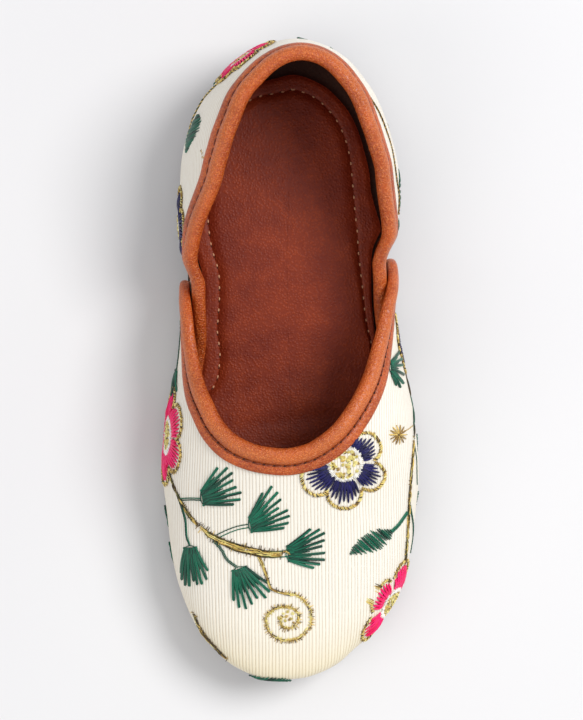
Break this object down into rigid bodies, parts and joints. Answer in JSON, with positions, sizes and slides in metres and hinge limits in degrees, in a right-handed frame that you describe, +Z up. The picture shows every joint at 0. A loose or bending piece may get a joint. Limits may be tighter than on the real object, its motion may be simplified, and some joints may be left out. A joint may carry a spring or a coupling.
{
  "type": "mojari shoe",
  "caption": "Child's left slip-on shoe with a low-cut embroidered fabric vamp, a separate heel band, leather-look bindings, an insole and a thin sole with a low heel.",
  "frame": {"origin": "on the floor, under the middle of the shoe's length and width", "axes": "+Z up, +Y along the shoe to the heel, +X to the outer side of the foot; the toe points along -Y"},
  "size_m": [0.066, 0.164, 0.0465],
  "materials": {
    "sole": "satin",
    "insole": "satin",
    "upper": "matte",
    "binding": "satin"
  },
  "bodies": {
    "root": {"outsole": "sole", "insole": "insole", "vamp": "upper", "quarter": "upper", "vamp_binding": "binding", "quarter_binding": "binding"}
  },
  "joints": []
}
